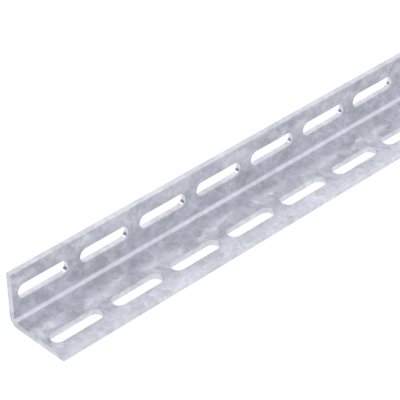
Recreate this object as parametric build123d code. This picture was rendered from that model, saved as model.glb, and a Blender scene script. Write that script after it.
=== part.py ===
from build123d import *
import os

# Slotted angle bar: 4 mm steel strip, punched with a row of long slots along each edge, bent along its length into an
# L with unequal legs, galvanised, and cut to a 2 m stock length. It is one piece of metal, so it is one solid.
#
# The bar lies on its wide leg, as stock does on a floor, and the narrow leg stands up along its back edge.
# X runs along the bar, +Y points from the lying leg's free edge to the heel, and Z is up. The origin is at the
# centre of the underside. Lengths are in millimetres.

# The section
bar_length = 2000.0
lying_leg = 50.0
upright_leg = 40.0
sheet_thickness = 4.0
inner_bend_radius = 3.0
edge_radius = 0.5

# The slots, the same in both legs
slot_length = 40.0
slot_width = 10.0
slot_pitch = 50.0
slot_to_free_edge = 16.5
least_end_margin = 5.0

# Worked out from the sizes above
outer_bend_radius = inner_bend_radius + sheet_thickness
free_edge_y = -lying_leg / 2
heel_y = lying_leg / 2
inner_heel_y = heel_y - sheet_thickness
room_for_slots = bar_length - 2 * least_end_margin - slot_length
slot_count = int(room_for_slots // slot_pitch) + 1
first_slot_x = -(slot_count - 1) * slot_pitch / 2


def corners(section, *places):
    """The section's corners that lie at the given places."""
    return [section.vertices().sort_by_distance(place)[0] for place in places]


def bent_section():
    """The L of the bent strip: round at the heel inside and out, with its two free edges slightly eased."""
    section = make_face(
        Polyline(
            (free_edge_y, 0),
            (heel_y, 0),
            (heel_y, upright_leg),
            (inner_heel_y, upright_leg),
            (inner_heel_y, sheet_thickness),
            (free_edge_y, sheet_thickness),
            close=True,
        )
    )
    section = fillet(corners(section, (heel_y, 0)), outer_bend_radius)
    section = fillet(corners(section, (inner_heel_y, sheet_thickness)), inner_bend_radius)
    free_edges = corners(
        section,
        (free_edge_y, 0),
        (free_edge_y, sheet_thickness),
        (heel_y, upright_leg),
        (inner_heel_y, upright_leg),
    )
    return fillet(free_edges, edge_radius)


def punched_row(leg_face):
    """One row of slots, cut from a leg's face through the sheet. The face's plane starts on the leg's free edge, with
    its first direction along the bar and its second towards the heel."""
    slot = SlotOverall(slot_length, slot_width)
    places = [Pos(first_slot_x + i * slot_pitch, slot_to_free_edge) for i in range(slot_count)]
    return [extrude(leg_face * place * slot, amount=sheet_thickness) for place in places]


def slotted_angle_bar():
    """The bar: the bent section along its whole length, less both rows of slots."""
    bar = extrude(Plane.YZ * bent_section(), amount=bar_length / 2, both=True)
    lying_face = Plane(origin=(0, free_edge_y, 0), x_dir=(1, 0, 0), z_dir=(0, 0, 1))
    upright_face = Plane(origin=(0, inner_heel_y, upright_leg), x_dir=(1, 0, 0), z_dir=(0, 1, 0))
    return bar - (punched_row(lying_face) + punched_row(upright_face))


os.makedirs("parts", exist_ok=True)
bar = slotted_angle_bar()
bar.label = "slotted_angle_bar"
export_step(bar, "parts/slotted_angle_bar.step")
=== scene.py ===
import bpy
import math
from mathutils import Euler, Matrix, Vector


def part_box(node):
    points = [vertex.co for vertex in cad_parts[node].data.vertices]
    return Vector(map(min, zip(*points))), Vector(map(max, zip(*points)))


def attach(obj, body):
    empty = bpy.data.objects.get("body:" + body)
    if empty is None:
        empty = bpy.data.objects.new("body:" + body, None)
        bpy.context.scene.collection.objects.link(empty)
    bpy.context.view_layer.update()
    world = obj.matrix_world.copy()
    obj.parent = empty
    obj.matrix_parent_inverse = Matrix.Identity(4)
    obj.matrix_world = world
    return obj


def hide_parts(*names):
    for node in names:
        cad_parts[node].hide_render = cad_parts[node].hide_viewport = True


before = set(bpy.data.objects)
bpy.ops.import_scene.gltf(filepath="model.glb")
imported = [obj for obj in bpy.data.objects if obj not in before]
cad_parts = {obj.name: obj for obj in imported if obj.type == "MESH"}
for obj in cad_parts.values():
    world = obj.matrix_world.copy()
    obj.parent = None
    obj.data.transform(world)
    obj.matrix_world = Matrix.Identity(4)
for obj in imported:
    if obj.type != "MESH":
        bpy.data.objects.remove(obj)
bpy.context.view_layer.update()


# The slotted angle bar: one strip of 4 mm steel, with a row of long slots punched along each edge, folded
# along its length into an L with unequal legs, and cut square. It is dipped in molten zinc last, so the zinc
# covers the punched and sheared edges too. It lies on its wide leg.

bar_low, bar_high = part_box("slotted_angle_bar")
bar_sizes = {
    "Bar length": bar_high.x - bar_low.x,
    "Lying leg": bar_high.y - bar_low.y,
    "Upright leg": bar_high.z - bar_low.z,
    "Sheet thickness": 0.004,
    "Inner bend radius": 0.003,
    "Slot length": 0.040,
    "Slot width": 0.010,
    "Slot pitch": 0.050,
    "Slot to free edge": 0.0165,
}
slots_in_a_row = 40
eased_edge = 0.0005

# How many quads lie along half of a slot's straight side, round half of its end, and round the fold
straight_quads = 2
slot_end_quads = 10
fold_quads = 8

# Points closer together than the first are one point. The second is the slack when a place is looked for.
merge_distance = 0.00001
slack = 0.0001


class Number:
    """A number in a node tree. Arithmetic on it adds Math nodes, so that a tree's rules read as on paper."""

    def __init__(self, tree, socket):
        self.tree = tree
        self.socket = socket

    def math(self, operation, *others, clamp=False):
        node = self.tree.nodes.new("ShaderNodeMath")
        node.operation = operation
        node.use_clamp = clamp
        for place, value in zip(node.inputs, (self, *others)):
            plug(value, place)
        return Number(self.tree, node.outputs[0])

    def __add__(self, other):
        return self.math("ADD", other)

    def __sub__(self, other):
        return self.math("SUBTRACT", other)

    def __mul__(self, other):
        return self.math("MULTIPLY", other)

    def __truediv__(self, other):
        return self.math("DIVIDE", other)

    def size(self):
        return self.math("ABSOLUTE")

    def sign(self):
        return self.math("SIGN")

    def sine(self):
        return self.math("SINE")

    def cosine(self):
        return self.math("COSINE")

    def share(self):
        """The number held between 0 and 1."""
        return self.math("ADD", 0.0, clamp=True)

    def over(self, limit):
        """1 where the number is above the limit, and 0 elsewhere."""
        return self.math("GREATER_THAN", limit)

    def under(self, limit):
        """1 where the number is below the limit, and 0 elsewhere."""
        return self.math("LESS_THAN", limit)

    def between(self, start, end):
        """The value that is this share of the way from start to end."""
        return self * (end - start) + start


def plug(value, place):
    """Gives a node's input a plain value, or links it to a Number or a socket."""
    if isinstance(value, Number):
        value.tree.links.new(value.socket, place)
    elif isinstance(value, bpy.types.NodeSocket):
        place.node.id_data.links.new(value, place)
    else:
        place.default_value = value


def add_node(tree, kind, settings=None, **inputs):
    """Adds a node with its own settings. Its inputs are named in lower case, with _ for a space."""
    node = tree.nodes.new(kind)
    for name, value in (settings or {}).items():
        setattr(node, name, value)
    for place in node.inputs:
        value = inputs.pop(place.name.lower().replace(" ", "_"), None)
        if value is not None:
            plug(value, place)
    if inputs:
        raise ValueError(f"{kind} has no inputs named {sorted(inputs)}")
    return node


def coordinates(tree, whole):
    """The three numbers of a vector."""
    split = add_node(tree, "ShaderNodeSeparateXYZ", vector=whole)
    return [Number(tree, socket) for socket in split.outputs]


def vector(tree, x, y, z):
    return add_node(tree, "ShaderNodeCombineXYZ", x=x, y=y, z=z).outputs[0]


def own_place(tree):
    """The three coordinates of each point, edge or face that a node works on."""
    return coordinates(tree, tree.nodes.new("GeometryNodeInputPosition").outputs[0])


def new_tree(name, numbers, counts=()):
    """A Geometry Nodes tree with named inputs, and those inputs as Numbers."""
    tree = bpy.data.node_groups.new(name, "GeometryNodeTree")
    for wanted in numbers:
        tree.interface.new_socket(wanted, in_out="INPUT", socket_type="NodeSocketFloat")
    for wanted in counts:
        tree.interface.new_socket(wanted, in_out="INPUT", socket_type="NodeSocketInt")
    tree.interface.new_socket("Geometry", in_out="OUTPUT", socket_type="NodeSocketGeometry")
    entry = tree.nodes.new("NodeGroupInput")
    return tree, {wanted: Number(tree, entry.outputs[wanted]) for wanted in (*numbers, *counts)}


def finish_tree(tree, geometry):
    exit_node = tree.nodes.new("NodeGroupOutput")
    tree.links.new(geometry, exit_node.inputs["Geometry"])


def counting_grid(tree, columns, rows):
    """A grid whose points count the columns and rows in whole numbers, from its middle."""
    grid = add_node(
        tree,
        "GeometryNodeMeshGrid",
        size_x=columns,
        size_y=rows,
        vertices_x=columns + 1,
        vertices_y=rows + 1,
    )
    column, row, _ = own_place(tree)
    return grid.outputs["Mesh"], column, row


def placed(tree, mesh, position):
    return add_node(tree, "GeometryNodeSetPosition", geometry=mesh, position=position).outputs[0]


def merged(tree, mesh):
    return add_node(tree, "GeometryNodeMergeByDistance", geometry=mesh, distance=merge_distance).outputs[0]


def half_straight(given):
    """Half of the length of a slot's straight sides."""
    return (given["Slot length"] - given["Slot width"]) * 0.5


def place_along_pitch(given, column):
    """Where the lines across the strip cross the straight sides of one pitch: evenly over the slot's
    straight side, and then evenly to the middle of the bridge between two slots."""
    straight = (column / straight_quads).share()
    beyond = ((column - straight_quads) / (slot_end_quads / 2)).share()
    return half_straight(given) * straight + (given["Slot pitch"] * 0.5 - half_straight(given)) * beyond


def half_window_tree():
    """Half of one slot's pitch, on one side of the slot's centre line: the sheet's outer face, the slot's
    wall and the sheet's inner face. Flat strip: X along it, Y across it, and Z up from its outer face."""
    tree, given = new_tree(
        "Half of a punched pitch",
        ["Slot length", "Slot width", "Slot pitch", "Sheet thickness", "Reach", "Centre line", "Side"],
    )
    mesh, column, layer = counting_grid(tree, 2 * (straight_quads + slot_end_quads), 3)
    step = column.size()

    # The slot's rim, from the middle of its straight side round to its end
    end_radius = given["Slot width"] * 0.5
    turn = ((step - straight_quads) / slot_end_quads).share() * (math.pi / 2)
    rim_x = half_straight(given) * (step / straight_quads).share() + end_radius * turn.sine()
    rim_y = end_radius * turn.cosine()

    # The half's border, along the strip to the end of the pitch and then back to the slot's centre line
    way_back = ((step - (straight_quads + slot_end_quads / 2)) / (slot_end_quads / 2)).share()
    border_x = place_along_pitch(given, step)
    border_y = given["Reach"] - given["Reach"] * way_back

    # The outermost rows of the grid lie on the border, and the two between them on the rim
    at_border = (layer.size() - 0.5).share()
    x = at_border.between(rim_x, border_x) * column.sign() * given["Side"]
    y = at_border.between(rim_y, border_y) * given["Side"] + given["Centre line"]
    z = given["Sheet thickness"] * layer.over(0.0)
    finish_tree(tree, placed(tree, mesh, vector(tree, x, y, z)))
    return tree


def punched_pitch(tree, given, outer_radius, fold_width):
    """One pitch of the strip: the lying leg at negative Y, the fold at 0, the upright leg at positive Y."""
    one_pitch = tree.nodes.new("GeometryNodeJoinGeometry")
    half_window = half_window_tree()
    for leg, outwards in (("Lying leg", -1.0), ("Upright leg", 1.0)):
        to_fold = given[leg] - outer_radius - given["Slot to free edge"]
        centre_line = (fold_width * 0.5 + to_fold) * outwards
        for reach, side in ((given["Slot to free edge"], outwards), (to_fold, -outwards)):
            half = tree.nodes.new("GeometryNodeGroup")
            half.node_tree = half_window
            for name in ("Slot length", "Slot width", "Slot pitch", "Sheet thickness"):
                plug(given[name], half.inputs[name])
            plug(reach, half.inputs["Reach"])
            plug(centre_line, half.inputs["Centre line"])
            plug(side, half.inputs["Side"])
            tree.links.new(half.outputs[0], one_pitch.inputs[0])

    border_quads = straight_quads + slot_end_quads // 2
    fold, column, row = counting_grid(tree, 2 * border_quads, fold_quads)
    fold_x = place_along_pitch(given, column.size()) * column.sign()
    fold_y = row * (fold_width / fold_quads)
    inner_fold = placed(tree, fold, vector(tree, fold_x, fold_y, given["Sheet thickness"]))
    outer_fold = placed(tree, fold, vector(tree, fold_x, fold_y, 0.0))
    outer_fold = add_node(tree, "GeometryNodeFlipFaces", mesh=outer_fold).outputs[0]
    tree.links.new(inner_fold, one_pitch.inputs[0])
    tree.links.new(outer_fold, one_pitch.inputs[0])
    return one_pitch.outputs[0]


def punched_strip(tree, given, one_pitch):
    """The strip's two faces: a row of pitches, with the first and the last drawn out to the cut ends."""
    row_length = given["Slots in a row"] * given["Slot pitch"]
    first_x = given["Slot pitch"] * 0.5 - row_length * 0.5
    line = add_node(
        tree,
        "GeometryNodeMeshLine",
        {"mode": "OFFSET"},
        count=given["Slots in a row"],
        start_location=vector(tree, first_x, 0.0, 0.0),
        offset=vector(tree, given["Slot pitch"], 0.0, 0.0),
    )
    pitches = add_node(tree, "GeometryNodeInstanceOnPoints", points=line.outputs[0], instance=one_pitch)
    strip = add_node(tree, "GeometryNodeRealizeInstances", geometry=pitches.outputs[0]).outputs[0]
    x, y, z = own_place(tree)
    at_end = x.size().over(row_length * 0.5 - slack)
    spare = (given["Bar length"] - row_length) * 0.5
    return placed(tree, merged(tree, strip), vector(tree, x + at_end * x.sign() * spare, y, z))


def closed_strip(tree, given, strip):
    """The strip with its own edges: the outer face's border is drawn up through the sheet."""
    _, _, z = own_place(tree)
    faces_at_edge = Number(tree, tree.nodes.new("GeometryNodeInputMeshEdgeNeighbors").outputs["Face Count"])
    walls = add_node(
        tree,
        "GeometryNodeExtrudeMesh",
        {"mode": "EDGES"},
        mesh=strip,
        selection=z.under(given["Sheet thickness"] * 0.5) * faces_at_edge.under(2),
        offset=vector(tree, 0.0, 0.0, given["Sheet thickness"]),
        offset_scale=1.0,
    )
    return merged(tree, walls.outputs["Mesh"])


def marked_strip(tree, given, strip, fold_width):
    """Marks the faces for the zinc while the strip is flat. The punched and sheared ones stand on edge."""
    x, y, _ = own_place(tree)
    _, _, normal_z = coordinates(tree, tree.nodes.new("GeometryNodeInputNormal").outputs[0])
    on_fold = y.size().under(fold_width * 0.5)
    on_edge = normal_z.size().under(0.5)
    at_cut = on_edge * x.size().over(given["Bar length"] * 0.5 - slack)
    marks = add_node(tree, "GeometryNodeCaptureAttribute", {"domain": "FACE"}, geometry=strip)
    for name, mark in (("Fold", on_fold), ("Edge", on_edge), ("Cut", at_cut)):
        marks.capture_items.new("BOOLEAN", name)
        plug(mark, marks.inputs[name])
    return marks


def folded(tree, given, strip, outer_radius, fold_width):
    """Y across the strip becomes the lying leg, a quarter turn round the bend's axis, and the upright leg."""
    x, y, z = own_place(tree)
    bent = (y / fold_width + 0.5).share()
    angle = bent * (math.pi / 2)
    along_leg = y - bent * fold_width + fold_width * 0.5
    from_axis = outer_radius - z
    axis_y = given["Lying leg"] * 0.5 - outer_radius
    folded_y = axis_y + from_axis * angle.sine() + along_leg * angle.cosine()
    folded_z = outer_radius - from_axis * angle.cosine() + along_leg * angle.sine()
    return placed(tree, strip, vector(tree, x, folded_y, folded_z))


def coated(tree, mesh, finish, faces=True):
    coat = add_node(tree, "GeometryNodeSetMaterial", geometry=mesh, material=finish, selection=faces)
    return coat.outputs[0]


def slotted_angle_tree(face_zinc, fold_zinc_with_painted_highlight, edge_zinc, cut_zinc):
    """The whole bar: a flat strip with two rows of slots, which is folded and then galvanised."""
    tree, given = new_tree("Strip punched with two rows of slots and folded", bar_sizes, ["Slots in a row"])
    outer_radius = given["Inner bend radius"] + given["Sheet thickness"]
    fold_width = (given["Inner bend radius"] + given["Sheet thickness"] * 0.5) * (math.pi / 2)

    one_pitch = punched_pitch(tree, given, outer_radius, fold_width)
    strip = closed_strip(tree, given, punched_strip(tree, given, one_pitch))
    marks = marked_strip(tree, given, strip, fold_width)
    angle_bar = folded(tree, given, marks.outputs["Geometry"], outer_radius, fold_width)
    angle_bar = add_node(tree, "GeometryNodeSetShadeSmooth", geometry=angle_bar).outputs[0]
    angle_bar = coated(tree, angle_bar, face_zinc)
    # The bend gets the lighter zinc, a painted highlight
    for name, finish in (("Fold", fold_zinc_with_painted_highlight), ("Edge", edge_zinc), ("Cut", cut_zinc)):
        angle_bar = coated(tree, angle_bar, finish, marks.outputs[name])
    finish_tree(tree, angle_bar)
    return tree


# The zinc's pattern: its two sizes of crystal, how far their borders wander, its patches and its grain
large_crystal = 0.007
small_crystal = 0.003
border_wander = 0.002
patch_size = 0.02
grain_size = 0.001


def noise(tree, place, size, detail=3.0):
    """Soft noise whose patches are about size metres across."""
    scale = 0.5 / size
    return add_node(tree, "ShaderNodeTexNoise", vector=place, scale=scale, detail=detail, roughness=0.55)


def crystals(tree, place, size):
    """Crystals about size metres across, each with three numbers of its own drawn by lot, as a colour."""
    cells = add_node(
        tree,
        "ShaderNodeTexVoronoi",
        {"feature": "SMOOTH_F1"},
        vector=place,
        scale=1.0 / size,
        smoothness=0.4,
    )
    return cells.outputs["Color"]


def combined(tree, operation, first, second):
    """Two vectors added, subtracted or multiplied, number by number."""
    node = tree.nodes.new("ShaderNodeVectorMath")
    node.operation = operation
    plug(first, node.inputs[0])
    plug(second, node.inputs[1])
    return node.outputs[0]


def around_zero(tree, colour, reach):
    """A colour's three numbers as a vector of both signs, about reach metres or radians long."""
    centred = combined(tree, "SUBTRACT", colour, (0.5, 0.5, 0.5))
    return combined(tree, "MULTIPLY", centred, (reach, reach, reach))


def blended(tree, share, dark, light):
    """The colour that is this share of the way from dark to light."""
    mix = tree.nodes.new("ShaderNodeMix")
    mix.data_type = "RGBA"
    used_inputs = [place for place in mix.inputs if place.enabled]
    for place, value in zip(used_inputs, (share, (*dark, 1.0), (*light, 1.0))):
        plug(value, place)
    return next(result for result in mix.outputs if result.enabled)


def zinc(name, dark, light, roughness, most_tilt):
    """Zinc that froze on the steel in flat crystals, the spangle: each is a little lighter or darker than the
    next, smoother or duller, and tilted a little, and has a wandering border. The sheet under them waves."""
    material = bpy.data.materials.new(name)
    material.use_nodes = True
    tree = material.node_tree
    shader = tree.nodes["Principled BSDF"]
    shader.inputs["Metallic"].default_value = 1.0

    place = tree.nodes.new("ShaderNodeTexCoord").outputs["Object"]
    stray = around_zero(tree, noise(tree, place, border_wander).outputs["Color"], border_wander)
    wandering = combined(tree, "ADD", place, stray)
    large = crystals(tree, wandering, large_crystal)
    small = crystals(tree, wandering, small_crystal)
    large_tone, _, dullness = coordinates(tree, large)
    _, small_tone, _ = coordinates(tree, small)
    patches = Number(tree, noise(tree, place, patch_size).outputs["Fac"])
    grain = Number(tree, noise(tree, place, grain_size).outputs["Fac"])

    # The four parts of the pattern add up to the zinc's tone, and the last number sets its middle
    tone = (large_tone * 0.34 + small_tone * 0.30 + patches * 0.6 + grain * 0.55 - 0.395).share()
    plug(blended(tree, tone, dark, light), shader.inputs["Base Color"])
    plug(dullness.between(*roughness), shader.inputs["Roughness"])

    crystal_tilt = around_zero(tree, large, most_tilt)
    waves = noise(tree, place, patch_size, detail=2.0)
    sheet_waves = around_zero(tree, waves.outputs["Color"], 3.0 * most_tilt)
    normal = tree.nodes.new("ShaderNodeNewGeometry").outputs["Normal"]
    tilted = combined(tree, "ADD", normal, combined(tree, "ADD", crystal_tilt, sheet_waves))
    relief = grain + patches
    bump = add_node(tree, "ShaderNodeBump", strength=0.15, distance=0.0002, height=relief, normal=tilted)
    plug(bump.outputs[0], shader.inputs["Normal"])
    return material


face_zinc = zinc(
    "galvanised_face",
    dark=(0.472, 0.475, 0.50),
    light=(0.815, 0.821, 0.863),
    roughness=(0.14, 0.34),
    most_tilt=0.05,
)
# The bend's zinc is smoother than the faces', and a little lighter: a painted highlight along the bend
fold_zinc_with_painted_highlight = zinc(
    "galvanised_fold",
    dark=(0.555, 0.559, 0.589),
    light=(0.765, 0.771, 0.81),
    roughness=(0.13, 0.20),
    most_tilt=0.03,
)
edge_zinc = zinc(
    "galvanised_edge",
    dark=(0.51, 0.512, 0.53),
    light=(0.81, 0.813, 0.838),
    roughness=(0.06, 0.11),
    most_tilt=0.015,
)
cut_zinc = zinc(
    "galvanised_cut",
    dark=(0.46, 0.462, 0.476),
    light=(0.78, 0.783, 0.807),
    roughness=(0.12, 0.20),
    most_tilt=0.03,
)


def made_plain(piece):
    """Gives the piece its evaluated mesh, and takes off the modifiers that made it."""
    bpy.context.view_layer.update()
    evaluated = piece.evaluated_get(bpy.context.evaluated_depsgraph_get())
    mesh = bpy.data.meshes.new_from_object(evaluated)
    piece.modifiers.clear()
    piece.data = mesh


bar = bpy.data.objects.new("angle_bar", bpy.data.meshes.new("angle_bar"))
bpy.context.scene.collection.objects.link(bar)
folding = bar.modifiers.new("punch and fold", "NODES")
folding.node_group = slotted_angle_tree(face_zinc, fold_zinc_with_painted_highlight, edge_zinc, cut_zinc)
tree_inputs = [item for item in folding.node_group.interface.items_tree if item.in_out == "INPUT"]
sockets = {item.name: item.identifier for item in tree_inputs}
for name, size in bar_sizes.items():
    folding[sockets[name]] = size
folding[sockets["Slots in a row"]] = slots_in_a_row
made_plain(bar)

# The zinc rounds off the edges that the punch and the shears left
easing = bar.modifiers.new("eased edges", "BEVEL")
easing.width = eased_edge
easing.segments = 3
easing.limit_method = "ANGLE"
easing.angle_limit = math.radians(60)
easing.use_clamp_overlap = False
easing.material = bar.data.materials.find(edge_zinc.name)
bar.modifiers.new("flat faces shaded flat", "WEIGHTED_NORMAL")
made_plain(bar)

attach(bar, "root")
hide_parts("slotted_angle_bar")


# The floor: a plain white sheet, matt and far wider than the picture, that the bar lies on. It glows, so that
# it is white in the picture and in what the zinc mirrors, and it keeps the bar's soft shadow.

floor_reach = 15.0
room_white = (1.0, 1.013, 1.08)
glow_seen = 0.9
glow_mirrored = 0.88


def matt_paint(name, colour):
    material = bpy.data.materials.new(name)
    material.use_nodes = True
    paint = material.node_tree.nodes["Principled BSDF"]
    paint.inputs["Base Color"].default_value = (*colour, 1.0)
    paint.inputs["Roughness"].default_value = 0.9
    paint.inputs["Specular IOR Level"].default_value = 0.0
    return material


def stage_piece(name, points, faces, material):
    piece = bpy.data.objects.new(name, bpy.data.meshes.new(name))
    piece.data.from_pydata(points, [], faces)
    piece.data.materials.append(material)
    bpy.context.scene.collection.objects.link(piece)
    return piece


floor_paint = matt_paint("white_floor", (0.8, 0.8, 0.8))
floor_tree = floor_paint.node_tree
glow = add_node(floor_tree, "ShaderNodeEmission", color=(*room_white, 1.0), strength=1.03)
rays = floor_tree.nodes.new("ShaderNodeLightPath")
glow_share = Number(floor_tree, rays.outputs["Is Camera Ray"]) * glow_seen
for mirrored in ("Is Glossy Ray", "Is Transmission Ray"):
    glow_share = glow_share + Number(floor_tree, rays.outputs[mirrored]) * glow_mirrored
mix = floor_tree.nodes.new("ShaderNodeMixShader")
plug(glow_share, mix.inputs[0])
plug(floor_tree.nodes["Principled BSDF"].outputs[0], mix.inputs[1])
plug(glow.outputs[0], mix.inputs[2])
plug(mix.outputs[0], floor_tree.nodes["Material Output"].inputs[0])
floor_corners = [(x * floor_reach, y * floor_reach, 0.0) for x, y in ((-1, -1), (1, -1), (1, 1), (-1, 1))]
stage_piece("floor", floor_corners, [(0, 1, 2, 3)], floor_paint)


# The light: an even white room round the bar's near end, a little brighter at the back. A dark curtain hangs
# in an arc behind the bar, with a lamp above it. Both are out of the picture, and give the slots' round ends
# their dark accent and their glint.

front_strength = 0.98
back_strength = 1.07
room_centre = Vector((-0.85, 0.0, 0.0))
wall_distance = 8.0

# The curtain's folds and its top are directions in degrees, as seen from the room's centre
curtain_folds = range(65, 153, 8)
curtain_top = 32

world = bpy.data.worlds.new("white_room")
bpy.context.scene.world = world
world.use_nodes = True
room = world.node_tree
towards_back = coordinates(room, room.nodes.new("ShaderNodeTexCoord").outputs["Generated"])[1]
background = room.nodes["Background"]
background.inputs["Color"].default_value = (*room_white, 1.0)
plug((towards_back * 0.5 + 0.5).between(front_strength, back_strength), background.inputs["Strength"])


def place_on_wall(azimuth, elevation):
    """The place on the room's wall that lies in a direction, in degrees, as seen from the room's centre."""
    around = math.radians(azimuth)
    height = math.tan(math.radians(elevation))
    return room_centre + wall_distance * Vector((math.cos(around), math.sin(around), height))


curtain_points = [place_on_wall(fold, height) for fold in curtain_folds for height in (0, curtain_top)]
curtain_faces = [(i, i + 1, i + 3, i + 2) for i in range(0, len(curtain_points) - 2, 2)]
curtain_paint = matt_paint("dark_curtain", (0.33, 0.33, 0.35))
curtain = stage_piece("curtain", curtain_points, curtain_faces, curtain_paint)
for other_rays in ("visible_camera", "visible_diffuse", "visible_shadow"):
    setattr(curtain, other_rays, False)

lamp = bpy.data.objects.new("lamp", bpy.data.lights.new("lamp", "AREA"))
lamp.data.shape = "DISK"
lamp.data.size = 2.2
lamp.data.energy = 13.0
lamp.location = place_on_wall(azimuth=119, elevation=43)
lamp.rotation_euler = (lamp.location - room_centre).to_track_quat("Z", "Y").to_euler()
lamp.visible_camera = False
bpy.context.scene.collection.objects.link(lamp)


# The camera stands in front of the bar's near end and looks along it and down on it, as in the photograph. It
# aims at a place in the bar's angle, from the distance and the direction that are given.

camera_aim = Vector((-0.84648, 0.01651, 0.020))
camera_distance = 1.26929
camera_azimuth = math.radians(-43.548)
camera_elevation = math.radians(35.623)
camera_roll = math.radians(-0.868)
camera = bpy.data.objects.new("camera", bpy.data.cameras.new("camera"))
turned = Euler((math.pi / 2 - camera_elevation, 0.0, camera_azimuth)).to_matrix()
camera.location = camera_aim + turned @ Vector((0.0, 0.0, camera_distance))
camera.rotation_euler = (turned @ Matrix.Rotation(camera_roll, 3, "Z")).to_euler()
camera.data.sensor_width = 36.0
camera.data.lens = 176.65
camera.data.clip_end = 20.0
bpy.context.scene.collection.objects.link(camera)
bpy.context.scene.camera = camera
bpy.context.scene.view_settings.view_transform = "Standard"
